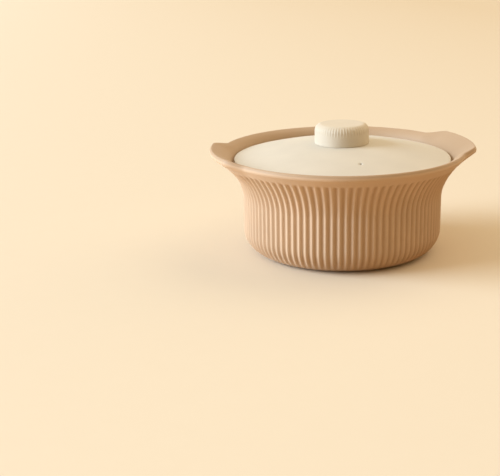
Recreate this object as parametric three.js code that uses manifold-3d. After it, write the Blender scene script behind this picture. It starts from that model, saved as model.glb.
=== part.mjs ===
// Silicone steamer: a fluted pot with a flared rim and two lug handles, a perforated steam tray on its floor,
// and a domed lid with a screwed-on knob. Millimetres, +Z up. The origin is the centre of the pot's base and
// the lug handles lie along X.
import * as THREE from "three";
import { mergeVertices } from "three/addons/utils/BufferGeometryUtils.js";
import Module from "manifold-3d";

const wasm = await Module();
wasm.setup();

// Clearances
const SEAT_GAP = 0.3; // between a piece and the face it rests on
const FIT_GAP = 0.2; // round a fastener in its hole
const TRAY_CLEARANCE = 2.5; // between the tray's edge and the pot's wall
const LID_CLEARANCE = 0.8; // between the lid's edge and the foot of the rim's inner face
const SKIRT_CLEARANCE = 2.6; // between the lid's locating skirt and the pot's lip
const SEAL_CLEARANCE = 0.5; // between the knob's seal and the foot round it

// Pot wall and base
const WALL_R = 82; // at the ridges of the flutes, where the wall is upright
const CORNER_R = 19.5; // outer round between wall and base
const WALL_THICKNESS = 3.5; // behind the bottom of a flute
const FLOOR_THICKNESS = 4;
const COVE_START_Z = 46; // the wall starts to flare here
const COVE_BEND = 15.5; // height of the cove's bend above its start

// Flutes round the wall
const FLUTE_COUNT = 96;
const FLUTE_DEPTH = 1.3;
const FLUTE_TOP_Z = 76.5; // the flutes have run out here
const FLUTE_FADE = 4; // height over which they run out, at the top and at the base

// Rim and the ledge that carries the lid
const RIM_R = 100.6;
const RIM_Z = 85;
const RIM_THICKNESS = 5.2;
const RIM_CROWN_INSET = 2.2; // from the rim's edge in to the crown of its rounded top
const RIM_ROLL_INSET = 0.5; // where the curve over the rim turns from up to in
const RIM_UNDER_INSET = 1.2; // from the rim's edge in to the start of its rounded underside
const RIM_NOSE_DROP = 2.7; // from the crown down to the widest point
const FLARE_BEND_OUT = 1; // of the bend in the rim's inner face, beyond the ledge
const FLARE_BEND_UP = 8; // of that bend, above the ledge
const LEDGE_Z = 74;
const LEDGE_WIDTH = 4.2;
const LIP_R = 85.4; // the pot's clear mouth
const LIP_ROUND = 1.4;
const INNER_COVE_BEND = 0.8; // of the inner cove's bend outside the inner wall

// Lug handles, which continue the rim outwards
const LUG_REACH = 8.2; // beyond the rim
const LUG_RISE = 3; // of the lug's edge above the rim
const LUG_TIP_WIDTH = 68; // along the rim, where the lug is full length
const LUG_ROOT_WIDTH = 100; // along the rim, where the lug has run out
const LUG_UNDER_START = 0.5; // share of the cove's length where the lug's underside starts to leave it
const LUG_BEND_OUT = 2.5; // the rim's inner face bends further out on a lug

// Steam tray
const TRAY_LEG_HEIGHT = 5.5;
const TRAY_LEG_R = 4;
const TRAY_LEG_COUNT = 6;
const TRAY_LEG_MARGIN = 1.5; // from a leg to where the floor turns up
const TRAY_THICKNESS = 2.4;
const TRAY_RIM_HEIGHT = 1.6;
const TRAY_RIM_WIDTH = 3;
const TRAY_HOLE_R = 4;
const TRAY_HOLE_PITCH = 15;
const TRAY_LEG_HOLE_GAP = 1; // least gap between a hole and a leg
const TRAY_EDGE_MARGIN = 9; // least plain band between the holes and the tray's edge

// Lid
const LID_EDGE_THICKNESS = 4;
const LID_THICKNESS = 3.6;
const LID_EDGE_ROUND = 1.2;
const LID_CROWN = 11.2; // rise from the lid's edge to its top
const LID_DOME_POWER = 1.6; // 2 is a parabola, 1 a cone
const LID_PAD_R = 21.5; // flat seat under the knob
const LID_SKIRT_DEPTH = 4;
const LID_SKIRT_THICKNESS = 2.6;
const VENT_R = 1.3;
const VENT_DISTANCE = 60; // from the lid's centre, midway between the lugs

// Knob and its fixing
const KNOB_R = 22.2;
const KNOB_HEIGHT = 14.8;
const KNOB_TOP_ROUND = 5.5;
const KNOB_FOOT_ROUND = 0.8;
const KNOB_WALL = 4.8;
const KNOB_FLUTE_COUNT = 58;
const KNOB_FLUTE_DEPTH = 0.3;
const KNOB_FLUTE_REACH = 8; // from the knob's top down its side
const KNOB_FLUTE_RUNOUT = 1; // height over which the knob's flutes run out
const KNOB_BOSS_R = 8;
const SEAL_THICKNESS = 1;
const INSERT_R = 4.2;
const INSERT_LENGTH = 8;
const SCREW_R = 2.5;
const SCREW_HEAD_R = 4.8;
const SCREW_HEAD_HEIGHT = 2.8;
const SCREW_HEAD_FLAT_R = 2.9;
const SCREW_HEAD_DOME = 1.1;
const SCREW_ENGAGEMENT = 6; // length of the screw inside the insert
const WASHER_R = 9;
const WASHER_THICKNESS = 1.2;

// Facets
const FLUTE_POINTS = 2; // a ridge and a groove
const PLAIN_POINTS = 64; // round a plain surface
const FASTENER_POINTS = 24;
const HOLE_POINTS = 10;

// Places worked out from the sizes above
const BASE_R = WALL_R - CORNER_R;
const LEDGE_R = LIP_R + LEDGE_WIDTH;
const INNER_R = WALL_R - FLUTE_DEPTH - WALL_THICKNESS;
const INNER_CORNER_R = CORNER_R - WALL_THICKNESS;
const TRAY_LEG_RING = INNER_R - INNER_CORNER_R - TRAY_LEG_R - TRAY_LEG_MARGIN;
const TRAY_LEG_Z = FLOOR_THICKNESS + SEAT_GAP;
const TRAY_Z = TRAY_LEG_Z + TRAY_LEG_HEIGHT;
const LID_Z = LEDGE_Z + SEAT_GAP;
const LID_R = LEDGE_R - LID_CLEARANCE;
const LID_EDGE_Z = LID_Z + LID_EDGE_THICKNESS;
const LID_TOP_Z = LID_EDGE_Z + LID_CROWN;
const LID_UNDER_Z = LID_TOP_Z - LID_THICKNESS - FIT_GAP;
const SEAL_Z = LID_TOP_Z + FIT_GAP;
const KNOB_FOOT_Z = LID_TOP_Z + FIT_GAP;
const KNOB_Z = SEAL_Z + SEAL_THICKNESS + FIT_GAP; // the boss, on the seal
const KNOB_CUP_R = KNOB_R - KNOB_FLUTE_DEPTH - KNOB_WALL; // inside the knob's foot
const SEAL_R = KNOB_CUP_R - SEAL_CLEARANCE;

const COLOURS = { clay: 0xb08660, cream: 0xe9dcc4, steel: 0xb9bbbd, brass: 0xc09a55, seal: 0xd8cdb8 };

function silicone(colour) {
  return new THREE.MeshStandardMaterial({ color: colour, roughness: 0.62, metalness: 0 });
}

function metal(colour) {
  return new THREE.MeshStandardMaterial({ color: colour, roughness: 0.32, metalness: 1 });
}

function named(name, geometry, material) {
  const mesh = new THREE.Mesh(geometry, material);
  mesh.name = name;
  return mesh;
}

// A closed surface through rings of points. Each ring is a function of the angle that returns [r, z], with
// its own number of points; a ring of one point is a pole.
function skin(rings) {
  const positions = [];
  const starts = rings.map(({ count, at }) => {
    const start = positions.length / 3;
    for (let i = 0; i < count; i++) {
      const angle = (2 * Math.PI * i) / count;
      const [r, z] = at(angle);
      positions.push(r * Math.cos(angle), r * Math.sin(angle), z);
    }
    return start;
  });
  const faces = [];
  for (let k = 0; k + 1 < rings.length; k++) {
    const low = (i) => starts[k] + (i % rings[k].count);
    const high = (i) => starts[k + 1] + (i % rings[k + 1].count);
    stitch(faces, low, rings[k].count, high, rings[k + 1].count);
  }
  const geometry = new THREE.BufferGeometry();
  geometry.setAttribute("position", new THREE.Float32BufferAttribute(positions, 3));
  geometry.setIndex(faces);
  return geometry;
}

// Triangles between two rings, walking both at the same rate.
function stitch(faces, low, lowCount, high, highCount) {
  let i = 0;
  let j = 0;
  const lowSteps = lowCount === 1 ? 0 : lowCount;
  const highSteps = highCount === 1 ? 0 : highCount;
  while (i < lowSteps || j < highSteps) {
    const lowNext = lowSteps ? (i + 0.5) / lowSteps : Infinity;
    const highNext = highSteps ? (j + 0.5) / highSteps : Infinity;
    if (i < lowSteps && (lowNext <= highNext || j === highSteps)) {
      faces.push(low(i), low(i + 1), high(j));
      i += 1;
    } else {
      faces.push(low(i), high(j + 1), high(j));
      j += 1;
    }
  }
}

function pole(z) {
  return { count: 1, at: () => [0, z] };
}

function ring(r, z, count = PLAIN_POINTS) {
  return { count, at: () => [r, z] };
}

function smoothstep(x) {
  const t = Math.min(1, Math.max(0, x));
  return t * t * (3 - 2 * t);
}

function bezier(a, b, c, t) {
  const s = 1 - t;
  return [0, 1].map((k) => s * s * a[k] + 2 * s * t * b[k] + t * t * c[k]);
}

// A scallop's depth at an angle: none on the ridges, full midway between them.
function scallop(angle, count, depth) {
  const across = ((angle * count) / (2 * Math.PI)) % 1;
  return depth * (1 - (2 * across - 1) ** 2);
}

// Boolean solids
function solid(geometry) {
  const bare = geometry.clone();
  bare.deleteAttribute("normal");
  bare.deleteAttribute("uv");
  const merged = mergeVertices(bare, 1e-4);
  return new wasm.Manifold(
    new wasm.Mesh({
      numProp: 3,
      vertProperties: new Float32Array(merged.attributes.position.array),
      triVerts: new Uint32Array(merged.index.array),
    }),
  );
}

function geometryOf(body) {
  const mesh = body.getMesh();
  const geometry = new THREE.BufferGeometry();
  geometry.setAttribute("position", new THREE.BufferAttribute(mesh.vertProperties, 3));
  geometry.setIndex(new THREE.BufferAttribute(mesh.triVerts, 1));
  return geometry;
}

function upright(r, length, points) {
  return new THREE.CylinderGeometry(r, r, length, points).rotateX(Math.PI / 2);
}

// How much of a lug there is at an angle: 1 across its tip, 0 away from it.
function lugShare(angle) {
  const toLug = Math.abs(Math.atan2(Math.sin(angle), Math.abs(Math.cos(angle))));
  const tip = LUG_TIP_WIDTH / 2 / (RIM_R + LUG_REACH);
  const root = LUG_ROOT_WIDTH / 2 / RIM_R;
  return smoothstep((root - toLug) / (root - tip));
}

function fluteShare(z) {
  const top = smoothstep((FLUTE_TOP_Z - z) / FLUTE_FADE);
  const base = smoothstep(z / FLUTE_FADE);
  return top * base;
}

function fluted(r, z, angle) {
  return [r - fluteShare(z) * scallop(angle, FLUTE_COUNT, FLUTE_DEPTH), z];
}

function rimEdge(angle) {
  const lug = lugShare(angle);
  return { r: RIM_R + lug * LUG_REACH, z: RIM_Z + lug * LUG_RISE, lug };
}

// The outside of the flare, from the upright wall to the under edge of the rim.
function cove(angle, t) {
  const start = [WALL_R, COVE_START_Z];
  const bend = [WALL_R, COVE_START_Z + COVE_BEND];
  const end = [RIM_R - RIM_UNDER_INSET, RIM_Z - RIM_THICKNESS];
  const [r, z] = bezier(start, bend, end, t);
  const out = lugShare(angle) * Math.max(0, (t - LUG_UNDER_START) / (1 - LUG_UNDER_START)) ** 2;
  return fluted(r + out * LUG_REACH, z + out * LUG_RISE, angle);
}

// The rounded top of the rim, from its outermost edge in to its crown.
function rimRoll(angle, t) {
  const edge = rimEdge(angle);
  return bezier([edge.r, edge.z - RIM_NOSE_DROP], [edge.r - RIM_ROLL_INSET, edge.z],
                [edge.r - RIM_CROWN_INSET, edge.z], t);
}

// The inside of the flare, from the rim's crown down to the ledge.
function flareInside(angle, t) {
  const edge = rimEdge(angle);
  const crown = [edge.r - RIM_CROWN_INSET, edge.z];
  const foot = [LEDGE_R, LEDGE_Z];
  const bend = [LEDGE_R + FLARE_BEND_OUT + edge.lug * LUG_BEND_OUT, LEDGE_Z + FLARE_BEND_UP];
  return bezier(crown, bend, foot, t);
}

// The pot's inner wall, from the lip down to the upright part.
function innerWall(t) {
  const lip = [LIP_R, LEDGE_Z - LIP_ROUND];
  const bend = [INNER_R + INNER_COVE_BEND, (lip[1] + COVE_START_Z) / 2];
  return bezier(lip, bend, [INNER_R, COVE_START_Z], t);
}

function pot() {
  const fine = FLUTE_COUNT * FLUTE_POINTS;
  const rings = [pole(0), ring(BASE_R, 0)];
  for (const turn of [30, 60, 90]) {
    const a = THREE.MathUtils.degToRad(turn);
    const r = BASE_R + CORNER_R * Math.sin(a);
    const z = CORNER_R * (1 - Math.cos(a));
    rings.push({ count: fine, at: (angle) => fluted(r, z, angle) });
  }
  for (const t of [0, 0.3, 0.5, 0.68, 0.84, 0.92, 1]) {
    rings.push({ count: fine, at: (angle) => cove(angle, t) });
  }
  for (const t of [0, 0.5, 1]) {
    rings.push({ count: fine, at: (angle) => rimRoll(angle, t) });
  }
  rings.push({ count: fine, at: (angle) => flareInside(angle, 0.4) });
  for (const t of [0.75, 1]) {
    rings.push({ count: PLAIN_POINTS, at: (angle) => flareInside(angle, t) });
  }
  rings.push(ring(LIP_R + LIP_ROUND, LEDGE_Z));
  for (const t of [0, 0.35, 0.7, 1]) {
    rings.push({ count: PLAIN_POINTS, at: () => innerWall(t) });
  }
  for (const turn of [90, 60, 30, 0]) {
    const a = THREE.MathUtils.degToRad(turn);
    const r = INNER_R - INNER_CORNER_R * (1 - Math.sin(a));
    rings.push(ring(r, FLOOR_THICKNESS + INNER_CORNER_R * (1 - Math.cos(a))));
  }
  rings.push(pole(FLOOR_THICKNESS));
  return skin(rings);
}

// The pot's inner radius at a height inside the round between its floor and wall.
function innerRadius(z) {
  const above = Math.min(INNER_CORNER_R, z - FLOOR_THICKNESS);
  return INNER_R - INNER_CORNER_R + Math.sqrt(INNER_CORNER_R ** 2 - (INNER_CORNER_R - above) ** 2);
}

function tray() {
  const r = innerRadius(TRAY_Z) - TRAY_CLEARANCE;
  const top = TRAY_Z + TRAY_THICKNESS;
  let body = solid(
    skin([
      pole(TRAY_Z),
      ring(r, TRAY_Z),
      ring(r, top + TRAY_RIM_HEIGHT),
      ring(r - TRAY_RIM_WIDTH, top + TRAY_RIM_HEIGHT),
      ring(r - TRAY_RIM_WIDTH, top),
      pole(top),
    ]),
  );
  const legLength = TRAY_LEG_HEIGHT + TRAY_THICKNESS / 2;
  for (let i = 0; i < TRAY_LEG_COUNT; i++) {
    const a = (2 * Math.PI * (i + 0.5)) / TRAY_LEG_COUNT;
    const leg = upright(TRAY_LEG_R, legLength, HOLE_POINTS + 2);
    leg.translate(TRAY_LEG_RING * Math.cos(a), TRAY_LEG_RING * Math.sin(a), TRAY_LEG_Z + legLength / 2);
    body = body.add(solid(leg));
  }
  return geometryOf(body.subtract(trayHoles(r)));
}

// Rings of steam holes round one in the middle, leaving a plain band at the edge and clear of the legs.
function trayHoles(trayR) {
  const holes = [];
  for (let k = 0; k * TRAY_HOLE_PITCH + TRAY_HOLE_R + TRAY_EDGE_MARGIN < trayR; k++) {
    const count = k === 0 ? 1 : 6 * k;
    for (let i = 0; i < count; i++) {
      const a = (2 * Math.PI * i) / count;
      const x = k * TRAY_HOLE_PITCH * Math.cos(a);
      const y = k * TRAY_HOLE_PITCH * Math.sin(a);
      if (!nearLeg(x, y)) {
        const hole = upright(TRAY_HOLE_R, 3 * TRAY_THICKNESS, HOLE_POINTS);
        holes.push(solid(hole.translate(x, y, TRAY_Z + TRAY_THICKNESS / 2)));
      }
    }
  }
  return wasm.Manifold.union(holes);
}

function nearLeg(x, y) {
  const reach = TRAY_HOLE_R + TRAY_LEG_R + TRAY_LEG_HOLE_GAP;
  for (let i = 0; i < TRAY_LEG_COUNT; i++) {
    const a = (2 * Math.PI * (i + 0.5)) / TRAY_LEG_COUNT;
    const apart = Math.hypot(x - TRAY_LEG_RING * Math.cos(a), y - TRAY_LEG_RING * Math.sin(a));
    if (apart < reach) return true;
  }
  return false;
}

// Height of the lid's domed top at a radius: it rises from the edge to the flat pad.
function domeZ(r, edgeR) {
  const share = Math.max(0, (r - LID_PAD_R) / (edgeR - LID_PAD_R));
  return LID_EDGE_Z + LID_CROWN * (1 - share ** LID_DOME_POWER);
}

function lid() {
  const crownR = LID_R - LID_EDGE_ROUND;
  const skirtR = LIP_R - SKIRT_CLEARANCE;
  const skirtInR = skirtR - LID_SKIRT_THICKNESS;
  const holeR = SCREW_R + FIT_GAP;
  const under = (r) => domeZ(r, crownR) - LID_THICKNESS;
  const rings = [ring(holeR, LID_TOP_Z - LID_THICKNESS), ring(LID_PAD_R, LID_TOP_Z - LID_THICKNESS)];
  for (const share of [0.4, 0.75, 1]) {
    const r = LID_PAD_R + (skirtInR - LID_PAD_R) * share;
    rings.push(ring(r, under(r)));
  }
  rings.push(ring(skirtInR, LID_Z - LID_SKIRT_DEPTH), ring(skirtR, LID_Z - LID_SKIRT_DEPTH));
  rings.push(ring(skirtR, LID_Z), ring(LID_R, LID_Z), ring(LID_R, LID_EDGE_Z - LID_EDGE_ROUND));
  for (const share of [1, 0.8, 0.6, 0.4, 0.2, 0]) {
    const r = LID_PAD_R + (crownR - LID_PAD_R) * share;
    rings.push(ring(r, domeZ(r, crownR)));
  }
  rings.push(ring(holeR, LID_TOP_Z), ring(holeR, LID_TOP_Z - LID_THICKNESS));
  const vent = upright(VENT_R, 4 * LID_THICKNESS, HOLE_POINTS);
  vent.translate(0, -VENT_DISTANCE, domeZ(VENT_DISTANCE, crownR));
  return geometryOf(solid(skin(rings)).subtract(solid(vent)));
}

// The knob: a cup fluted round its shoulder, open below, with a foot round the seal and a boss in the middle
// that stands on the seal and holds the threaded insert.
function knob() {
  const fine = KNOB_FLUTE_COUNT * FLUTE_POINTS;
  const plain = KNOB_FLUTE_COUNT;
  const top = KNOB_Z + KNOB_HEIGHT;
  const ceiling = top - KNOB_WALL;
  const pocketR = INSERT_R + FIT_GAP;
  const pocketTop = KNOB_Z + INSERT_LENGTH + 2 * FIT_GAP;
  const rings = [
    pole(pocketTop),
    ring(pocketR, pocketTop, plain),
    ring(pocketR, KNOB_Z, plain),
    ring(KNOB_BOSS_R, KNOB_Z, plain),
    ring(KNOB_BOSS_R, ceiling, plain),
    ring(KNOB_CUP_R, ceiling, plain),
    ring(KNOB_CUP_R, KNOB_FOOT_Z, plain),
  ];
  for (const turn of [0, 45, 90]) {
    const a = THREE.MathUtils.degToRad(turn);
    const r = KNOB_R - KNOB_FOOT_ROUND * (1 - Math.sin(a));
    rings.push(ring(r, KNOB_FOOT_Z + KNOB_FOOT_ROUND * (1 - Math.cos(a)), plain));
  }
  const grooved = (r, z) => ({
    count: fine,
    at: (angle) => [r - scallop(angle, KNOB_FLUTE_COUNT, KNOB_FLUTE_DEPTH), z],
  });
  rings.push(ring(KNOB_R, top - KNOB_FLUTE_REACH, fine));
  rings.push(grooved(KNOB_R, top - KNOB_FLUTE_REACH + KNOB_FLUTE_RUNOUT));
  for (const turn of [0, 30, 60]) {
    const a = THREE.MathUtils.degToRad(turn);
    const r = KNOB_R - KNOB_TOP_ROUND * (1 - Math.cos(a));
    rings.push(grooved(r, top - KNOB_TOP_ROUND * (1 - Math.sin(a))));
  }
  rings.push(ring(KNOB_R - KNOB_TOP_ROUND, top, plain));
  rings.push(pole(top));
  return skin(rings);
}

// A ring round the screw's shank.
function tube(outerR, z, height, points = FASTENER_POINTS) {
  const innerR = SCREW_R + FIT_GAP;
  return skin([
    ring(innerR, z, points),
    ring(outerR, z, points),
    ring(outerR, z + height, points),
    ring(innerR, z + height, points),
    ring(innerR, z, points),
  ]);
}

// The screw, head down under the lid, with its shank up through lid and seal into the insert.
function screw() {
  const headTop = LID_UNDER_Z - WASHER_THICKNESS - FIT_GAP;
  const headZ = headTop - SCREW_HEAD_HEIGHT;
  return skin([
    pole(headZ),
    ring(SCREW_HEAD_FLAT_R, headZ, FASTENER_POINTS),
    ring(SCREW_HEAD_R, headZ + SCREW_HEAD_DOME, FASTENER_POINTS),
    ring(SCREW_HEAD_R, headTop, FASTENER_POINTS),
    ring(SCREW_R, headTop, FASTENER_POINTS),
    ring(SCREW_R, KNOB_Z + SCREW_ENGAGEMENT, FASTENER_POINTS),
    pole(KNOB_Z + SCREW_ENGAGEMENT),
  ]);
}

const clay = silicone(COLOURS.clay);
const cream = silicone(COLOURS.cream);
const steel = metal(COLOURS.steel);

const steamer = new THREE.Group();
steamer.add(named("pot_body", pot(), clay));
steamer.add(named("steam_tray", tray(), clay));

const cover = new THREE.Group();
cover.add(named("lid_panel", lid(), cream));
cover.add(named("lid_knob", knob(), cream));
cover.add(named("knob_seal", tube(SEAL_R, SEAL_Z, SEAL_THICKNESS, PLAIN_POINTS), silicone(COLOURS.seal)));
cover.add(named("knob_insert", tube(INSERT_R, KNOB_Z + FIT_GAP, INSERT_LENGTH), metal(COLOURS.brass)));
cover.add(named("knob_washer", tube(WASHER_R, LID_UNDER_Z - WASHER_THICKNESS, WASHER_THICKNESS), steel));
cover.add(named("knob_screw", screw(), steel));
steamer.add(cover);

export default steamer;
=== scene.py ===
"""The looks of the silicone steamer: a fluted clay-coloured pot with lug handles, a perforated tray
inside it, and a cream lid with a fluted knob. Metres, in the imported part's frame: the pot stands on
z = 0 with its lugs along X."""

import math

import bmesh
import bpy
import numpy as np
from mathutils import Matrix, Vector


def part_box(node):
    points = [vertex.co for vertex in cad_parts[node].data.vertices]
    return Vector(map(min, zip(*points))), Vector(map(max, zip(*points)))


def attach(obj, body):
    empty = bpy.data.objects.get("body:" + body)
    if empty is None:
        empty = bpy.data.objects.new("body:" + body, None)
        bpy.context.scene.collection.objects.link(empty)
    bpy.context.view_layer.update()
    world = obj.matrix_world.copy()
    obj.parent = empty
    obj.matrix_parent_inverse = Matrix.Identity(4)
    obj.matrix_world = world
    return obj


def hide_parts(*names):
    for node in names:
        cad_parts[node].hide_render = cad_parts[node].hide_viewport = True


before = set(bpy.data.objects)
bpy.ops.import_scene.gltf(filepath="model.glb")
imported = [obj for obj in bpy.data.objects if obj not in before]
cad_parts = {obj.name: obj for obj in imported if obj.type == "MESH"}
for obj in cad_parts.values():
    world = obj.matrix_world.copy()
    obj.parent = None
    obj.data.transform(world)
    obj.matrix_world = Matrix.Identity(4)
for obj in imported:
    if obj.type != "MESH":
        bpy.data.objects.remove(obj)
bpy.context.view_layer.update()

# Clearances
SEAT_GAP = 0.0003
FIT_GAP = 0.0002

# Pot wall and base
WALL_R = 0.082
CORNER_R = 0.0195
WALL_THICKNESS = 0.0035
FLOOR_THICKNESS = 0.004
COVE_START_Z = 0.046
COVE_BEND = 0.0155
INNER_COVE_BEND = 0.0008

# Flutes round the wall
FLUTE_COUNT = 96
FLUTE_DEPTH = 0.0013
FLUTE_TOP_Z = 0.0758
FLUTE_FADE = 0.0024
FLUTE_BASE_FADE = 0.011
RIDGE_ROUND = 1.2  # the higher, the broader the ridges

# Rim and ledge
RIM_R = 0.1006
RIM_Z = 0.085
RIM_THICKNESS = 0.0052
RIM_CROWN_INSET = 0.0022
RIM_UNDER_INSET = 0.0012
RIM_ROLL_INSET = 0.0005
RIM_NOSE_DROP = 0.0027
RIM_CROWN_ROUND = 0.3  # share of the faces on either side of the crown that its rounding takes up
FLARE_BEND_OUT = 0.001
FLARE_BEND_UP = 0.008
LEDGE_Z = 0.074
LEDGE_WIDTH = 0.0042
LIP_R = 0.0854
LIP_ROUND = 0.0014

# Lug handles
LUG_REACH = 0.0082
LUG_RISE = 0.003
LUG_TIP_WIDTH = 0.068
LUG_ROOT_WIDTH = 0.1
LUG_UNDER_START = 0.5
LUG_BEND_OUT = 0.0025

# Lid
LID_EDGE_THICKNESS = 0.004
LID_THICKNESS = 0.0036
LID_EDGE_ROUND = 0.0012
LID_EDGE_TURN = math.radians(75)
LID_CROWN = 0.0112
LID_DOME_POWER = 1.6
LID_PAD_R = 0.0215
LID_SKIRT_DEPTH = 0.004
LID_SKIRT_THICKNESS = 0.0026
SKIRT_CLEARANCE = 0.0026
SHANK_HOLE_R = 0.0027
VENT_R = 0.0013
VENT_DISTANCE = 0.06
VENT_EDGE = ((1.5, 0), (1.2, 0.00008), (1, 0.00035))  # reach in vent radii, and depth

# Small bends in the lid's section
DOME_EDGE_MARGIN = 0.0008
UNDER_EDGE_MARGIN = 0.0012
SKIRT_BEND_IN = 0.0003
SKIRT_BEND_DROP = 0.0006
FLANGE_BEND_OUT = 0.0004
FLANGE_BEND_DROP = 0.0006
FLANGE_EDGE_IN = 0.0006
FLANGE_EDGE_BEND = 0.0002
FLANGE_EDGE_RISE = 0.0007

# Knob
KNOB_TOP_ROUND = 0.0055
KNOB_FOOT_ROUND = 0.0004
KNOB_FOOT_GAP = 0.00004
KNOB_WALL = 0.0048
KNOB_FLUTE_COUNT = 58
KNOB_FLUTE_DEPTH = 0.0003
KNOB_FLUTE_REACH = 0.008
KNOB_FLUTE_RUNOUT = 0.001
KNOB_BOSS_R = 0.008
KNOB_POCKET_R = 0.0044
KNOB_POCKET_DEPTH = 0.0084
KNOB_CUP_EDGE = 0.0004

# Tray
TRAY_THICKNESS = 0.0024
TRAY_RIM_HEIGHT = 0.0016
TRAY_RIM_WIDTH = 0.003
TRAY_LEG_R = 0.004
TRAY_LEG_COUNT = 6
TRAY_LEG_MARGIN = 0.0015
TRAY_HOLE_R = 0.004
TRAY_HOLE_PITCH = 0.015
TRAY_HOLES_A_RING = 6  # more in each ring than in the one inside it
TRAY_LEG_HOLE_GAP = 0.001
TRAY_EDGE_MARGIN = 0.009
TRAY_SHARP_ANGLE = math.radians(25)

# Rounded edges of the tray: a unit, and points in it from the edge and up or into the plate
TRAY_EDGE_ROUND = 0.0005
TRAY_UNDER_EDGE = ((5, 0), (3, 0), (1, 0.6), (0, 3))
TRAY_RIM_FOOT = ((0.3, 0.4), (1, 0), (3, 0))
TRAY_HOLE_EDGE = ((2, -1), (0.4, 0.4), (0, 1))

# Points in a ring
FLUTE_POINTS = 10  # for each flute of the pot
KNOB_POINTS = 8  # for each flute of the knob
KNOB_PLAIN_POINTS = 2  # for each flute of the knob, where it is plain
PLAIN_POINTS = 240
LID_POINTS = 360
SEAL_POINTS = 120
SMALL_POINTS = 32  # for a leg or hole of the tray
VENT_CELLS = 3  # half the side of the square of cells that the vent hole takes up
VENT_COLUMN = LID_POINTS * 3 // 4  # the vent hole lies towards -Y

# Rings on each curve, and shares of a length at which the others lie
BASE_SHARE = 0.97
CORNER_RINGS = 14
WALL_RINGS = 5
WALL_SPAN = (0.2, 0.8)
COVE_RINGS = 44
NOSE_RINGS = 5
ROLL_RINGS = 7
CROWN_RINGS = 8
FLARE_RINGS = 9
FLARE_FINE_SHARE = 0.6  # of the flare, from its top, has the full number of points
LEDGE_SHARE = 1.5  # in lip rounds from the lip
LIP_RINGS = 6
INNER_WALL_RINGS = 12
INNER_CORNER_RINGS = 10
FLOOR_SHARES = (0.66, 0.33)
DOME_RINGS = 9
DOME_START_SHARE = 0.6
SKIRT_RINGS = 9
LID_EDGE_RINGS = 8
KNOB_FOOT_RINGS = 10
KNOB_WALL_RINGS = 12
KNOB_ROUND_RINGS = 16
KNOB_TOP_SHARES = (0.8, 0.5, 0.2)
SEAL_RINGS = 7
TRAY_RIM_RINGS = 11
TRAY_FOOT_RINGS = 5

# Marks on the pot for its material: worn edges, and shade painted on the inside
EDGE_START = 0.9  # share of the cove where the paler edge of the rim starts
INSIDE_BLEND = 0.2  # share of the rim's top over which the painted shade of the inside starts
# share of the inside's painted shade that the ledge gets
LEDGE_INSIDE_SHADE = 0.5
LIP_EDGE = 0.6

# Turns and tolerances
QUARTER = math.pi / 2
SAME_RADIUS = 1e-6
MERGE_DISTANCE = 1e-7

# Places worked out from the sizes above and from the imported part
BASE_R = WALL_R - CORNER_R
LEDGE_R = LIP_R + LEDGE_WIDTH
INNER_R = WALL_R - FLUTE_DEPTH - WALL_THICKNESS
INNER_CORNER_R = CORNER_R - WALL_THICKNESS
LID_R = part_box("lid_panel")[1][0]
LID_Z = LEDGE_Z + SEAT_GAP
LID_EDGE_Z = LID_Z + LID_EDGE_THICKNESS
LID_TOP_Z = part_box("lid_panel")[1][2]
KNOB_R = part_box("lid_knob")[1][0]
KNOB_FOOT_Z = LID_TOP_Z + KNOB_FOOT_GAP
KNOB_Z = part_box("knob_seal")[1][2] + FIT_GAP
KNOB_TOP_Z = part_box("lid_knob")[1][2]
SEAL_LOW, SEAL_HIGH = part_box("knob_seal")
TRAY_LOW, TRAY_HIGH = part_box("steam_tray")

# Silicone
CLAY = (0.69, 0.515, 0.362)
CREAM = (0.685, 0.645, 0.563)
KNOB_CREAM = (0.7, 0.628, 0.512)
SEAL_CREAM = (0.66, 0.6, 0.49)
# Painted shade: the darker colour given to the inside of the flare, the lug tops and the ledge
INSIDE_SHADE_TINT = (0.72, 0.68, 0.63)
# Painted shade in the grooves of the flutes, and how much of it the pot and the knob get
GROOVE_SHADE_TINT = (0.66, 0.56, 0.46)
POT_GROOVE_SHADE = 0.72
KNOB_GROOVE_SHADE = 0.06
CLOUD_NOISE = (28, 2)  # scale, detail and roughness of a noise
CLOUD_SPAN = (0.35, 0.65)
CLOUD_SHADES = (0.965, 1.03)
CLOUD_ROUGHNESS = (0.52, 0.64)
GRAIN_NOISE = (900, 2, 0.6)
GRAIN_STRENGTH = 0.18
GRAIN_HEIGHT = 0.0003
SPECK_NOISE = (420, 3, 0.7)
SPECK_SPAN = (0.62, 0.78)
SPECK_SHARE = 0.12
SPECK_SHADE = 0.84
WORN_SHARE = 0.2
WORN_SHADE = 1.1
SILICONE_SPECULAR = 0.32
SILICONE_SHEEN = 0.06
SHEEN_ROUGHNESS = 0.45

# Metal
STEEL = (0.62, 0.61, 0.6)
STEEL_ROUGHNESS = 0.3
BRASS = (0.72, 0.5, 0.22)
BRASS_ROUGHNESS = 0.34
DULL_NOISE = (260, 3)
DULL_SPAN = (0.3, 0.7)
DULL_SHADES = (0.9, 1.05)
DULL_ROUGHNESS = (-0.06, 0.1)
TOOL_MARKS = {"Scale": 1400, "Distortion": 2, "Detail": 2}
TOOL_MARK_STRENGTH = 0.12
TOOL_MARK_HEIGHT = 0.0001

# Floor and backdrop
FLOOR_HALF = 6
# Painted light: the floor's colour falls off from the left to the right as the key's light would
FLOOR_LIT_LEFT = (0.885, 0.82, 0.7, 1)
FLOOR_DIM_RIGHT = (0.74, 0.62, 0.45, 1)
FLOOR_SPAN = (-0.5, 1)
FLOOR_ROUGHNESS = 0.9
FLOOR_SPECULAR = 0.1
FIBRE_NOISE = (60, 4)
FIBRE_SPAN = (0.3, 0.7)
FIBRE_SHARE = 0.03
BOUNCE_LEFT = (0.92, 0.74, 0.52, 1)
BOUNCE_RIGHT = (0.54, 0.36, 0.2, 1)
BOUNCE_SPAN = (-0.2, 0)
AMBIENT = (0.32, 0.23, 0.12, 1)
BACKDROP = (0.95, 0.84, 0.66, 1)

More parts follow.
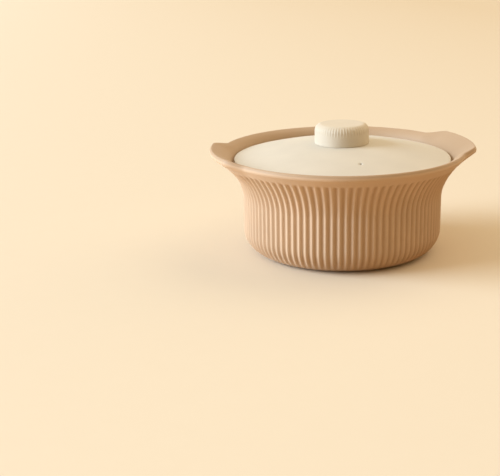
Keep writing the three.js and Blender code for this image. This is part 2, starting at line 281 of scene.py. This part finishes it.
# Camera, fitted to the photograph's rim and base
IMAGE_WIDTH_PX = 500
FOCAL_PX = 1054.8
SENSOR = 36
CAMERA_AT = Vector((-0.20951, -0.83062, 0.26449))
CAMERA_TURN = math.radians(9)
CAMERA_PITCH = math.radians(16.656)
CAMERA_ROLL = 0.02

# Lamps
KEY_ELEVATION = math.radians(20)
KEY_FORWARD = math.radians(2)  # from the camera's left towards the camera
KEY_ANGLE = math.radians(40)
KEY_STRENGTH = 4.3
KEY_COLOUR = (0.72, 0.85, 0.98)
FILL_ELEVATION = math.radians(40)
FILL_BACK = math.radians(30)  # from the camera's right away from the camera
FILL_ANGLE = math.radians(70)
FILL_STRENGTH = 1
FILL_COLOUR = (1, 0.76, 0.48)
OVERHEAD_ANGLE = math.radians(100)
OVERHEAD_STRENGTH = 0.95
OVERHEAD_COLOUR = (1, 0.85, 0.66)


# Curves

def smoothstep(x):
    t = np.clip(x, 0.0, 1.0)
    return t * t * (3 - 2 * t)


def bezier(points, t):
    """A point on the curve of three control points, each a pair (r, z) of numbers or arrays."""
    s = 1 - t
    shares = s * s, 2 * s * t, t * t
    return tuple(sum(share * point[k] for share, point in zip(shares, points)) for k in (0, 1))


def steps(count, first=0.0, last=1.0):
    return np.linspace(first, last, count)


# Meshes and objects

class Skin:
    """A surface through rings of points, each ring with its own number; one point is a pole."""

    def __init__(self):
        self.points = []
        self.rings = []
        self.marks = []

    def ring(self, count, at, groove=0.0, edge=0.0, inside=0.0):
        """A ring whose radius and height are a function of the angle, and so may be its groove."""
        angle = 2 * math.pi * np.arange(count) / count
        r, z = at(angle)
        r, z = r + 0 * angle, z + 0 * angle
        self.rings.append((len(self.points), count))
        self.points.extend(zip(r * np.cos(angle), r * np.sin(angle), z))
        groove = groove(angle) if callable(groove) else groove + 0 * angle
        # Marks for the material: groove depth, edge wear, and the share of shade painted on the
        # inside
        self.marks.extend(zip(groove, edge + 0 * angle, inside + 0 * angle))

    def plain(self, count, r, z, **marks):
        self.ring(count, lambda angle: (r, z), **marks)

    def pole(self, z):
        self.plain(1, 0, z)

    def faces(self):
        for (low, lows), (high, highs) in zip(self.rings, self.rings[1:]):
            if lows == highs:
                for i in range(lows):
                    j = (i + 1) % lows
                    yield low + i, low + j, high + j, high + i
            else:
                yield from stitch(low, lows, high, highs)

    def mesh(self, name):
        mesh = new_mesh(name, self.points, list(self.faces()))
        # the inside mark carries painted shade
        for k, mark in enumerate(("groove", "edge", "inside")):
            layer = mesh.attributes.new(mark, "FLOAT", "POINT")
            layer.data.foreach_set("value", np.array([m[k] for m in self.marks], dtype=np.float32))
        return finished(mesh)


def stitch(low, lows, high, highs):
    """Triangles between two rings of different counts, walking both at the same rate."""
    i = j = 0
    low_steps = lows if lows > 1 else 0
    high_steps = highs if highs > 1 else 0
    while i < low_steps or j < high_steps:
        low_next = (i + 0.5) / low_steps if i < low_steps else math.inf
        high_next = (j + 0.5) / high_steps if j < high_steps else math.inf
        if low_next <= high_next:
            yield low + i, low + (i + 1) % lows, high + j % highs
            i += 1
        else:
            yield low + i % lows, high + (j + 1) % highs, high + j
            j += 1


def new_mesh(name, points, faces):
    mesh = bpy.data.meshes.new(name)
    mesh.from_pydata([tuple(map(float, point)) for point in points], [], faces)
    return mesh


def finished(mesh):
    """Merged, facing out and smooth."""
    form = bmesh.new()
    form.from_mesh(mesh)
    bmesh.ops.remove_doubles(form, verts=form.verts, dist=MERGE_DISTANCE)
    bmesh.ops.recalc_face_normals(form, faces=form.faces)
    form.to_mesh(mesh)
    form.free()
    mesh.shade_smooth()
    return mesh


def placed(name, data):
    obj = bpy.data.objects.new(name, data)
    bpy.context.collection.objects.link(obj)
    return obj


def piece(name, mesh, body, node, material):
    obj = placed(name, mesh)
    mesh.materials.clear()
    mesh.materials.append(material)
    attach(obj, body)
    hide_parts(node)


# Pot

def lug_share(angle):
    """1 along the tip of a lug, 0 beyond its root, and smooth between them."""
    to_lug = np.abs(np.arctan2(np.sin(angle), np.abs(np.cos(angle))))
    tip = LUG_TIP_WIDTH / 2 / (RIM_R + LUG_REACH)
    root = LUG_ROOT_WIDTH / 2 / RIM_R
    return smoothstep((root - to_lug) / (root - tip))


def scallop(angle, count):
    """0 along the rounded ridges and 1 along the middle of the grooves between them."""
    across = np.sin(angle * count / 2)
    depth = np.sqrt(across ** 2 + RIDGE_ROUND ** 2) - RIDGE_ROUND
    return depth / (math.sqrt(1 + RIDGE_ROUND ** 2) - RIDGE_ROUND)


def flute_share(z):
    """1 up the fluted wall, fading to 0 at its top and at the base."""
    return smoothstep((FLUTE_TOP_Z - z) / FLUTE_FADE) * smoothstep(z / FLUTE_BASE_FADE)


def fluted(r, z, angle):
    return r - FLUTE_DEPTH * flute_share(z) * scallop(angle, FLUTE_COUNT), z


def rim_edge(angle):
    """The rim's outer radius and its height, with the lugs, and the share of a lug."""
    lug = lug_share(angle)
    return RIM_R + lug * LUG_REACH, RIM_Z + lug * LUG_RISE, lug


def cove(angle, t):
    """The outside of the flare, from the upright wall to the under edge of the rim or of a lug."""
    bend = WALL_R, COVE_START_Z + COVE_BEND
    end = RIM_R - RIM_UNDER_INSET, RIM_Z - RIM_THICKNESS
    r, z = bezier(((WALL_R, COVE_START_Z), bend, end), t)
    out = lug_share(angle) * max(0, (t - LUG_UNDER_START) / (1 - LUG_UNDER_START)) ** 2
    return r + out * LUG_REACH, z + out * LUG_RISE


def flare_points(angle):
    """Control points of the inside of the flare, from the crown of the rim down to the ledge."""
    r, z, lug = rim_edge(angle)
    bend = LEDGE_R + FLARE_BEND_OUT + lug * LUG_BEND_OUT, LEDGE_Z + FLARE_BEND_UP
    return (r - RIM_CROWN_INSET, z), bend, (LEDGE_R, LEDGE_Z)


def nose(angle, t):
    """The round outer edge of the rim, from the end of the cove up to its widest point."""
    r, z, _ = rim_edge(angle)
    bend = r, z - RIM_THICKNESS + RIM_UNDER_INSET / 2
    return bezier((cove(angle, 1.0), bend, (r, z - RIM_NOSE_DROP)), t)


def roll(angle, t):
    """The rounded top of the rim, from its widest point in to its crown."""
    r, z, _ = rim_edge(angle)
    return bezier(((r, z - RIM_NOSE_DROP), (r - RIM_ROLL_INSET, z), (r - RIM_CROWN_INSET, z)), t)


def crown(angle, t):
    """The rounding of the crown, between the roll and the inner face."""
    start = roll(angle, 1 - RIM_CROWN_ROUND)
    end = bezier(flare_points(angle), RIM_CROWN_ROUND)
    return bezier((start, roll(angle, 1.0), end), t)


def pot_mesh():
    """Rings from the middle of the base out, up and over the rim, then down inside to the floor."""
    skin = Skin()
    fine = FLUTE_COUNT * FLUTE_POINTS
    coarse = fine // 2

    def fluted_ring(wall, edge=0.0):
        """A ring of the fluted wall, from the wall without its flutes."""
        # shade painted into the flutes, deepest in their grooves
        def groove(angle):
            return scallop(angle, FLUTE_COUNT) ** 2 * flute_share(wall(angle)[1])

        skin.ring(fine, lambda angle: fluted(*wall(angle), angle), groove, edge)

    skin.pole(0)
    skin.plain(PLAIN_POINTS, BASE_R * BASE_SHARE, 0)
    for turn in steps(CORNER_RINGS, 0, QUARTER):
        r = BASE_R + CORNER_R * math.sin(turn)
        z = CORNER_R * (1 - math.cos(turn))
        fluted_ring(lambda angle: (r, z))
    for t in steps(WALL_RINGS, *WALL_SPAN):
        z = CORNER_R + (COVE_START_Z - CORNER_R) * t
        fluted_ring(lambda angle: (WALL_R, z))
    for t in steps(COVE_RINGS):
        fluted_ring(lambda angle: cove(angle, t), smoothstep((t - EDGE_START) / (1 - EDGE_START)))
    for t in steps(NOSE_RINGS)[1:]:
        skin.ring(fine, lambda angle: nose(angle, t), edge=1.0)
    # From here down to the ledge, the inside mark paints shade on the rim's top, the flare and the
    # ledge
    for t in steps(ROLL_RINGS, 0, 1 - RIM_CROWN_ROUND)[1:]:
        skin.ring(fine, lambda angle: roll(angle, t), edge=1.0 - t,
                  inside=smoothstep(t / INSIDE_BLEND))
    for t in steps(CROWN_RINGS)[1:]:
        skin.ring(fine, lambda angle: crown(angle, t), inside=1.0)
    for t in steps(FLARE_RINGS, RIM_CROWN_ROUND)[1:]:
        count = fine if t < FLARE_FINE_SHARE else coarse
        skin.ring(count, lambda angle: bezier(flare_points(angle), t), inside=1.0)
    skin.plain(coarse, LIP_R + LEDGE_SHARE * LIP_ROUND, LEDGE_Z, inside=LEDGE_INSIDE_SHADE)
    for turn in steps(LIP_RINGS, 0, QUARTER):
        r = LIP_R + LIP_ROUND * (1 - math.sin(turn))
        z = LEDGE_Z - LIP_ROUND * (1 - math.cos(turn))
        skin.plain(coarse, r, z, edge=LIP_EDGE)
    lip = LIP_R, LEDGE_Z - LIP_ROUND
    bend = INNER_R + INNER_COVE_BEND, (lip[1] + COVE_START_Z) / 2
    for t in steps(INNER_WALL_RINGS)[1:]:
        skin.plain(PLAIN_POINTS, *bezier((lip, bend, (INNER_R, COVE_START_Z)), t))
    for turn in steps(INNER_CORNER_RINGS, QUARTER, 0):
        r = INNER_R - INNER_CORNER_R * (1 - math.sin(turn))
        z = FLOOR_THICKNESS + INNER_CORNER_R * (1 - math.cos(turn))
        skin.plain(PLAIN_POINTS, r, z)
    for share in FLOOR_SHARES:
        skin.plain(PLAIN_POINTS, (INNER_R - INNER_CORNER_R) * share, FLOOR_THICKNESS)
    skin.pole(FLOOR_THICKNESS)
    return skin.mesh("pot")


# Lid

def dome_z(r):
    share = np.maximum(0, (r - LID_PAD_R) / (LID_R - LID_EDGE_ROUND - LID_PAD_R))
    return LID_EDGE_Z + LID_CROWN * (1 - share ** LID_DOME_POWER)


def dome_radii(outer):
    """Radii across the dome, with rings about the vent hole close together and evenly spaced."""
    cell = 2 * math.pi * VENT_DISTANCE / LID_POINTS
    near = VENT_DISTANCE + cell * np.arange(-VENT_CELLS, VENT_CELLS + 1)
    inside = steps(DOME_RINGS, LID_PAD_R * DOME_START_SHARE, near[0])[:-1]
    outside = steps(DOME_RINGS, near[-1], outer)[1:]
    return [float(r) for r in (*inside, *near, *outside)]


def lid_profile():
    """The lid's section as (r, z) pairs, from the hole's lower edge round to its upper edge."""
    crown_r = LID_R - LID_EDGE_ROUND
    skirt_r = LIP_R - SKIRT_CLEARANCE
    skirt_in = skirt_r - LID_SKIRT_THICKNESS
    low_z = LID_Z - LID_SKIRT_DEPTH
    half = LID_SKIRT_THICKNESS / 2
    profile = [(SHANK_HOLE_R, LID_TOP_Z - LID_THICKNESS)]
    profile += [(r, dome_z(r) - LID_THICKNESS) for r in dome_radii(skirt_in - UNDER_EDGE_MARGIN)]
    profile += [(skirt_in - SKIRT_BEND_IN, dome_z(skirt_in) - LID_THICKNESS - SKIRT_BEND_DROP)]
    profile += [(skirt_in, low_z + 2 * half)]
    profile += [(skirt_in + half * (1 - math.cos(a)), low_z + half * (1 - math.sin(a)))
                for a in steps(SKIRT_RINGS, 0, math.pi)]
    profile += [(skirt_r, LID_Z - FLANGE_BEND_DROP), (skirt_r + FLANGE_BEND_OUT, LID_Z)]
    profile += [(LID_R - FLANGE_EDGE_IN, LID_Z)]
    profile += [(LID_R - FLANGE_EDGE_BEND, LID_Z + FLANGE_EDGE_BEND)]
    profile += [(LID_R, LID_Z + FLANGE_EDGE_RISE)]
    profile += [(crown_r + LID_EDGE_ROUND * math.cos(a),
                 LID_EDGE_Z - LID_EDGE_ROUND * (1 - math.sin(a)))
                for a in steps(LID_EDGE_RINGS, 0, LID_EDGE_TURN)]
    profile += [(r, dome_z(r)) for r in reversed(dome_radii(crown_r - DOME_EDGE_MARGIN))]
    return profile + [(SHANK_HOLE_R, LID_TOP_Z)]


def lid_point(row, column):
    return row * LID_POINTS + column % LID_POINTS


def bridge(faces, loop, other):
    """Adds the faces between two loops that have the same number of points."""
    for i in range(len(loop)):
        j = (i + 1) % len(loop)
        faces.append((loop[i], loop[j], other[j], other[i]))


def vent_edge(points, faces, row):
    """Rings of faces from the square of cells left out of the dome down into the vent hole."""
    n = VENT_CELLS
    square = [(-n, c) for c in range(-n, n)] + [(r, n) for r in range(-n, n)]
    square += [(n, c) for c in range(n, -n, -1)] + [(r, -n) for r in range(n, -n, -1)]
    centre = np.array(points[lid_point(row, VENT_COLUMN)])
    top = centre[2] > dome_z(VENT_DISTANCE) - LID_THICKNESS / 2
    inward = -1 if top else 1  # into the lid, and the way the section's radii run there
    loop = [lid_point(row + inward * r, VENT_COLUMN + c) for r, c in square]
    for reach, depth in VENT_EDGE:
        ring = []
        for corner in loop:
            out = np.array(points[corner]) - centre
            flat = math.hypot(out[0], out[1])
            x, y = centre[:2] + out[:2] / flat * VENT_R * reach
            z = centre[2] + dome_z(math.hypot(x, y)) - dome_z(VENT_DISTANCE) + inward * depth
            points.append((x, y, z))
            ring.append(len(points) - 1)
        bridge(faces, loop, ring)
        loop = ring
    return loop


def lid_mesh():
    """The turned section, with a square of cells on both faces replaced by the vent hole."""
    profile = lid_profile()
    count = len(profile)
    angles = 2 * math.pi * np.arange(LID_POINTS) / LID_POINTS
    points = [(r * math.cos(a), r * math.sin(a), z) for r, z in profile for a in angles]
    vent_rows = [k for k, (r, _) in enumerate(profile) if abs(r - VENT_DISTANCE) < SAME_RADIUS]
    vent_columns = range(VENT_COLUMN - VENT_CELLS, VENT_COLUMN + VENT_CELLS)
    faces = []
    for k in range(count):
        after = (k + 1) % count
        holed = any(row - VENT_CELLS <= k < row + VENT_CELLS for row in vent_rows)
        for i in range(LID_POINTS):
            if not (holed and i in vent_columns):
                faces.append((lid_point(k, i), lid_point(k, i + 1),
                              lid_point(after, i + 1), lid_point(after, i)))
    under, over = [vent_edge(points, faces, row) for row in vent_rows]
    bridge(faces, under, over)
    return finished(new_mesh("lid", points, faces))


# Knob and its seal

def knob_mesh():
    """Rings from the top of the pocket round the boss and the cup, then up the outside."""
    skin = Skin()
    plain = KNOB_FLUTE_COUNT * KNOB_PLAIN_POINTS
    fine = KNOB_FLUTE_COUNT * KNOB_POINTS
    ceiling = KNOB_TOP_Z - KNOB_WALL
    cup_r = KNOB_R - KNOB_FLUTE_DEPTH - KNOB_WALL
    pocket_top = KNOB_Z + KNOB_POCKET_DEPTH
    low = KNOB_TOP_Z - KNOB_FLUTE_REACH
    high = KNOB_TOP_Z - KNOB_TOP_ROUND

    def wall(r, z, turn=0.0):
        """A ring of the fluted outside, which faces out and up by a turn."""
        ends = smoothstep((z - low) / (2 * KNOB_FLUTE_RUNOUT))
        ends *= smoothstep((KNOB_TOP_Z - z) / KNOB_FLUTE_RUNOUT)

        def groove(angle):
            return ends * scallop(angle, KNOB_FLUTE_COUNT)

        def at(angle):
            depth = KNOB_FLUTE_DEPTH * groove(angle)
            return r - depth * math.cos(turn), z - depth * math.sin(turn)

        skin.ring(fine, at, groove)

    inside = [(KNOB_POCKET_R, pocket_top), (KNOB_POCKET_R, KNOB_Z)]
    inside += [(KNOB_BOSS_R, KNOB_Z), (KNOB_BOSS_R, ceiling), (cup_r, ceiling)]
    inside += [(cup_r, KNOB_FOOT_Z + KNOB_CUP_EDGE), (cup_r + KNOB_CUP_EDGE, KNOB_FOOT_Z)]
    skin.pole(pocket_top)
    for r, z in inside:
        skin.plain(plain, r, z)
    for turn in steps(KNOB_FOOT_RINGS, 0, QUARTER):
        r = KNOB_R - KNOB_FOOT_ROUND * (1 - math.sin(turn))
        z = KNOB_FOOT_Z + KNOB_FOOT_ROUND * (1 - math.cos(turn))
        skin.plain(fine, r, z)
    for z in steps(KNOB_WALL_RINGS, KNOB_FOOT_Z + KNOB_FOOT_ROUND, high)[1:]:
        wall(KNOB_R, z)
    for turn in steps(KNOB_ROUND_RINGS, 0, QUARTER)[1:]:
        r = KNOB_R - KNOB_TOP_ROUND * (1 - math.cos(turn))
        wall(r, high + KNOB_TOP_ROUND * math.sin(turn), turn)
    for share in KNOB_TOP_SHARES:
        skin.plain(plain, (KNOB_R - KNOB_TOP_ROUND) * share, KNOB_TOP_Z)
    skin.pole(KNOB_TOP_Z)
    return skin.mesh("knob")


def seal_mesh():
    """A flat ring with rounded edges, round the screw's shank."""
    half = (SEAL_HIGH[2] - SEAL_LOW[2]) / 2
    middle = (SEAL_HIGH[2] + SEAL_LOW[2]) / 2
    outer, inner = SEAL_HIGH[0] - half, SHANK_HOLE_R + half
    turns = steps(SEAL_RINGS, 0, math.pi)
    section = [(inner - half * math.sin(a), middle - half * math.cos(a)) for a in turns]
    section += [(outer + half * math.sin(a), middle + half * math.cos(a)) for a in turns]
    skin = Skin()
    for r, z in reversed(section + section[:1]):
        skin.plain(SEAL_POINTS, r, z)
    return skin.mesh("seal")


# Tray

def tray_legs():
    ring = INNER_R - INNER_CORNER_R - TRAY_LEG_R - TRAY_LEG_MARGIN
    turns = [2 * math.pi * (k + 0.5) / TRAY_LEG_COUNT for k in range(TRAY_LEG_COUNT)]
    return [(ring * math.cos(a), ring * math.sin(a)) for a in turns]


def tray_holes(tray_r):
    """Places in rings about the middle one, without those that would meet a leg."""
    clear = TRAY_HOLE_R + TRAY_LEG_R + TRAY_LEG_HOLE_GAP
    k = 0
    while k * TRAY_HOLE_PITCH + TRAY_HOLE_R + TRAY_EDGE_MARGIN < tray_r:
        count = max(1, TRAY_HOLES_A_RING * k)
        for i in range(count):
            a = 2 * math.pi * i / count
            x, y = k * TRAY_HOLE_PITCH * math.cos(a), k * TRAY_HOLE_PITCH * math.sin(a)
            if all(math.hypot(x - leg_x, y - leg_y) >= clear for leg_x, leg_y in tray_legs()):
                yield x, y
        k += 1


def meshed(obj):
    """An object's shape with its modifiers as a new mesh; the object is removed."""
    bpy.context.view_layer.update()
    evaluated = obj.evaluated_get(bpy.context.evaluated_depsgraph_get())
    mesh = bpy.data.meshes.new_from_object(evaluated)
    bpy.data.objects.remove(obj)
    return mesh


def turned(section, at=(0, 0), count=PLAIN_POINTS):
    """A turned solid about an upright axis; its section starts and ends on the axis."""
    skin = Skin()
    for r, z in section:
        if r == 0:
            skin.pole(z)
        else:
            skin.plain(count, r, z)
    mesh = skin.mesh("turned")
    mesh.transform(Matrix.Translation((at[0], at[1], 0)))
    return mesh


def combined(target, mesh, operation):
    """The target with a mesh joined to it or taken out of it."""
    tool = placed("tool", mesh)
    change = target.modifiers.new(operation, "BOOLEAN")
    change.operation = operation
    change.object = tool
    change.solver = "EXACT"
    changed = placed("changed", meshed(target))
    bpy.data.objects.remove(tool)
    return changed


def tray_mesh():
    """A turned dish with a rounded rim, on legs with rounded feet, with steam holes through it."""
    tray_r, top = TRAY_HIGH[0], TRAY_HIGH[2]
    plate_top = top - TRAY_RIM_HEIGHT
    plate_low = plate_top - TRAY_THICKNESS
    half = TRAY_RIM_WIDTH / 2
    rim_in = tray_r - TRAY_RIM_WIDTH
    e = TRAY_EDGE_ROUND

    dish = [(0, plate_low)]
    dish += [(tray_r - a * e, plate_low + b * e) for a, b in TRAY_UNDER_EDGE]
    dish += [(tray_r - half + half * math.cos(a), top - half + half * math.sin(a))
             for a in steps(TRAY_RIM_RINGS, 0, math.pi)]
    dish += [(rim_in - a * e, plate_top + b * e) for a, b in TRAY_RIM_FOOT]
    dish += [(0, plate_top)]
    tray = placed("tray", turned(dish))

    leg_top = plate_low + TRAY_THICKNESS / 2
    leg = [(0, TRAY_LOW[2])]
    leg += [(TRAY_LEG_R - e * (1 - math.sin(a)), TRAY_LOW[2] + e * (1 - math.cos(a)))
            for a in steps(TRAY_FOOT_RINGS, 0, QUARTER)]
    leg += [(TRAY_LEG_R, leg_top), (0, leg_top)]
    for place in tray_legs():
        tray = combined(tray, turned(leg, place, SMALL_POINTS), "UNION")

    hole = [(0, plate_low - e)]
    hole += [(TRAY_HOLE_R + a * e, plate_low + b * e) for a, b in TRAY_HOLE_EDGE]
    hole += [(TRAY_HOLE_R + a * e, plate_top - b * e) for a, b in reversed(TRAY_HOLE_EDGE)]
    hole += [(0, plate_top + e)]
    for place in tray_holes(tray_r):
        tray = combined(tray, turned(hole, place, SMALL_POINTS), "DIFFERENCE")

    mesh = finished(meshed(tray))
    mesh.set_sharp_from_angle(angle=TRAY_SHARP_ANGLE)
    return mesh


# Materials

def node(tree, kind, inputs=None, **settings):
    """A new node; each input is linked where it is given a socket, and set where it is a value."""
    made = tree.nodes.new(kind)
    for key, value in settings.items():
        setattr(made, key, value)
    for key, value in (inputs or {}).items():
        if isinstance(value, bpy.types.NodeSocket):
            tree.links.new(value, made.inputs[key])
        else:
            made.inputs[key].default_value = value
    return made


def fresh(name):
    material = bpy.data.materials.new(name)
    material.use_nodes = True
    tree = material.node_tree
    tree.nodes.clear()
    shader = node(tree, "ShaderNodeBsdfPrincipled")
    output = node(tree, "ShaderNodeOutputMaterial")
    tree.links.new(shader.outputs[0], output.inputs[0])
    return material, tree, shader


def mix(tree, factor, a, b):
    return node(tree, "ShaderNodeMix", {0: factor, 6: a, 7: b}, data_type="RGBA").outputs[2]


def place_in(tree):
    return node(tree, "ShaderNodeTexCoord").outputs["Object"]


def noise(tree, scale, detail, roughness=0.55):
    inputs = {"Vector": place_in(tree), "Scale": scale, "Detail": detail, "Roughness": roughness}
    return node(tree, "ShaderNodeTexNoise", inputs).outputs["Fac"]


def ranged(tree, value, span=(0, 1), to=(0, 1)):
    inputs = {"Value": value, "From Min": span[0], "From Max": span[1],
              "To Min": to[0], "To Max": to[1]}
    return node(tree, "ShaderNodeMapRange", inputs).outputs[0]


def mark(tree, name):
    return node(tree, "ShaderNodeAttribute", attribute_name=name).outputs["Fac"]


def bumped(tree, shader, height, strength, distance):
    inputs = {"Strength": strength, "Distance": distance, "Height": height}
    bump = node(tree, "ShaderNodeBump", inputs)
    tree.links.new(bump.outputs[0], shader.inputs["Normal"])


def shade(colour, factor):
    return tint(colour, (factor, factor, factor))


def tint(colour, factors):
    return tuple(min(1.0, c * f) for c, f in zip(colour, factors)) + (1.0,)


def silicone(name, colour, grooves=0.0):
    """Matt moulded silicone, mottled, with a fine grain; grooves is how strongly shade is painted
    into the grooves.
    """
    material, tree, shader = fresh(name)
    clouds = ranged(tree, noise(tree, *CLOUD_NOISE), CLOUD_SPAN)
    grain = noise(tree, *GRAIN_NOISE)
    tone = mix(tree, clouds, *(shade(colour, factor) for factor in CLOUD_SHADES))
    specks = ranged(tree, noise(tree, *SPECK_NOISE), SPECK_SPAN, (0, SPECK_SHARE))
    tone = mix(tree, specks, tone, shade(colour, SPECK_SHADE))
    if grooves:
        groove, worn, inside = (mark(tree, key) for key in ("groove", "edge", "inside"))
        # Painted shade: grooves darker and warmer by their depth
        tone = mix(tree, ranged(tree, groove, to=(0, grooves)), tone, tint(colour, GROOVE_SHADE_TINT))
        # Painted shade on the inside of the flare, the lug tops and the ledge
        tone = mix(tree, inside, tone, tint(colour, INSIDE_SHADE_TINT))
        tone = mix(tree, ranged(tree, worn, to=(0, WORN_SHARE)), tone, shade(colour, WORN_SHADE))
    tree.links.new(tone, shader.inputs["Base Color"])
    tree.links.new(ranged(tree, clouds, to=CLOUD_ROUGHNESS), shader.inputs["Roughness"])
    bumped(tree, shader, grain, GRAIN_STRENGTH, GRAIN_HEIGHT)
    shader.inputs["Specular IOR Level"].default_value = SILICONE_SPECULAR
    shader.inputs["Sheen Weight"].default_value = SILICONE_SHEEN
    shader.inputs["Sheen Roughness"].default_value = SHEEN_ROUGHNESS
    return material


def metal(name, colour, roughness):
    """Turned metal: fine rings of tool marks and a little uneven dulling."""
    material, tree, shader = fresh(name)
    rings = node(tree, "ShaderNodeTexWave", {"Vector": place_in(tree), **TOOL_MARKS},
                 wave_type="RINGS", rings_direction="Z").outputs["Fac"]
    dull = ranged(tree, noise(tree, *DULL_NOISE), DULL_SPAN)
    tone = mix(tree, dull, *(shade(colour, factor) for factor in DULL_SHADES))
    rough = ranged(tree, dull, to=[roughness + change for change in DULL_ROUGHNESS])
    tree.links.new(tone, shader.inputs["Base Color"])
    tree.links.new(rough, shader.inputs["Roughness"])
    bumped(tree, shader, rings, TOOL_MARK_STRENGTH, TOOL_MARK_HEIGHT)
    shader.inputs["Metallic"].default_value = 1.0
    return material


def shown_ray(tree):
    """1 for what the camera sees, straight or mirrored; 0 for light on its way to a surface."""
    path = node(tree, "ShaderNodeLightPath")
    shown = path.outputs["Is Camera Ray"]
    for kind in ("Is Glossy Ray", "Is Transmission Ray"):
        rays = {0: shown, 1: path.outputs[kind]}
        shown = node(tree, "ShaderNodeMath", rays, operation="MAXIMUM").outputs[0]
    return shown


def floor_material():
    """Paper with the key's falloff painted in, paler at the left, and that throws back less light
    than it shows.
    """
    material, tree, shader = fresh("paper_floor")
    across = node(tree, "ShaderNodeSeparateXYZ", {0: place_in(tree)}).outputs[0]
    # Painted light: the key's falloff across the paper
    paper_and_falloff = mix(tree, ranged(tree, across, FLOOR_SPAN), FLOOR_LIT_LEFT, FLOOR_DIM_RIGHT)
    fibres = ranged(tree, noise(tree, *FIBRE_NOISE), FIBRE_SPAN, (0, FIBRE_SHARE))
    paper_and_falloff = mix(tree, fibres, paper_and_falloff, FLOOR_DIM_RIGHT)
    bounce = mix(tree, ranged(tree, across, BOUNCE_SPAN), BOUNCE_LEFT, BOUNCE_RIGHT)
    tree.links.new(mix(tree, shown_ray(tree), bounce, paper_and_falloff), shader.inputs["Base Color"])
    shader.inputs["Roughness"].default_value = FLOOR_ROUGHNESS
    shader.inputs["Specular IOR Level"].default_value = FLOOR_SPECULAR
    return material


# Pieces

clay = silicone("clay_silicone", CLAY, POT_GROOVE_SHADE)
clay_plain = silicone("clay_tray_silicone", CLAY)
cream = silicone("cream_silicone", CREAM)
cream_knob = silicone("cream_knob_silicone", KNOB_CREAM, KNOB_GROOVE_SHADE)
seal_cream = silicone("seal_silicone", SEAL_CREAM)
steel = metal("steel", STEEL, STEEL_ROUGHNESS)
brass = metal("brass", BRASS, BRASS_ROUGHNESS)

piece("pot", pot_mesh(), "pot", "pot_body", clay)
piece("lid", lid_mesh(), "lid", "lid_panel", cream)
piece("knob", knob_mesh(), "lid", "lid_knob", cream_knob)
piece("seal", seal_mesh(), "lid", "knob_seal", seal_cream)
piece("tray", tray_mesh(), "tray", "steam_tray", clay_plain)

for name, material in (("knob_screw", steel), ("knob_washer", steel), ("knob_insert", brass)):
    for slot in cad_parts[name].material_slots:
        slot.material = material


# Camera

def camera_axes():
    """The camera's right, up and forward directions."""
    level = Matrix.Rotation(-CAMERA_TURN, 3, "Z")
    right = level @ Vector((1, 0, 0))
    forward = level @ Vector((0, math.cos(CAMERA_PITCH), -math.sin(CAMERA_PITCH)))
    up = right.cross(forward)
    c, s = math.cos(CAMERA_ROLL), math.sin(CAMERA_ROLL)
    return c * right - s * up, s * right + c * up, forward


right, up, forward = camera_axes()
lens = bpy.data.cameras.new("camera")
lens.sensor_fit = "HORIZONTAL"
lens.sensor_width = SENSOR
lens.lens = FOCAL_PX * SENSOR / IMAGE_WIDTH_PX
camera = placed("camera", lens)
camera.matrix_world = Matrix((right, up, -forward)).transposed().to_4x4()
camera.location = CAMERA_AT
bpy.context.scene.camera = camera

# Floor and backdrop

corners = [(x * FLOOR_HALF, y * FLOOR_HALF, 0) for x, y in ((-1, -1), (1, -1), (1, 1), (-1, 1))]
floor = placed("floor", new_mesh("floor", corners, [(0, 1, 2, 3)]))
floor.data.materials.append(floor_material())

world = bpy.data.worlds.new("studio")
world.use_nodes = True
world.node_tree.nodes.clear()
sky = mix(world.node_tree, shown_ray(world.node_tree), AMBIENT, BACKDROP)
background = node(world.node_tree, "ShaderNodeBackground", {"Color": sky, "Strength": 1.0})
node(world.node_tree, "ShaderNodeOutputWorld", {"Surface": background.outputs[0]})
bpy.context.scene.world = world
bpy.context.scene.view_settings.view_transform = "Standard"


# Lamps

def sun(name, place, colour, strength, angle):
    """A sun that points at the middle of the pot's base."""
    data = bpy.data.lights.new(name, "SUN")
    data.color = colour
    data.energy = strength
    data.angle = angle
    obj = placed(name, data)
    obj.location = place
    obj.rotation_euler = (-place).to_track_quat("-Z", "Y").to_euler()


def from_side(across, turn, elevation):
    """The direction of a lamp at the camera's left or right, turned about the pot and raised."""
    level = Matrix.Rotation(turn - CAMERA_TURN, 3, "Z") @ Vector((across, 0, 0))
    return math.cos(elevation) * level + Vector((0, 0, math.sin(elevation)))


key_place = from_side(-1, KEY_FORWARD, KEY_ELEVATION)
fill_place = from_side(1, FILL_BACK, FILL_ELEVATION)
sun("key", key_place, KEY_COLOUR, KEY_STRENGTH, KEY_ANGLE)
sun("fill", fill_place, FILL_COLOUR, FILL_STRENGTH, FILL_ANGLE)
sun("overhead", Vector((0, 0, 1)), OVERHEAD_COLOUR, OVERHEAD_STRENGTH, OVERHEAD_ANGLE)
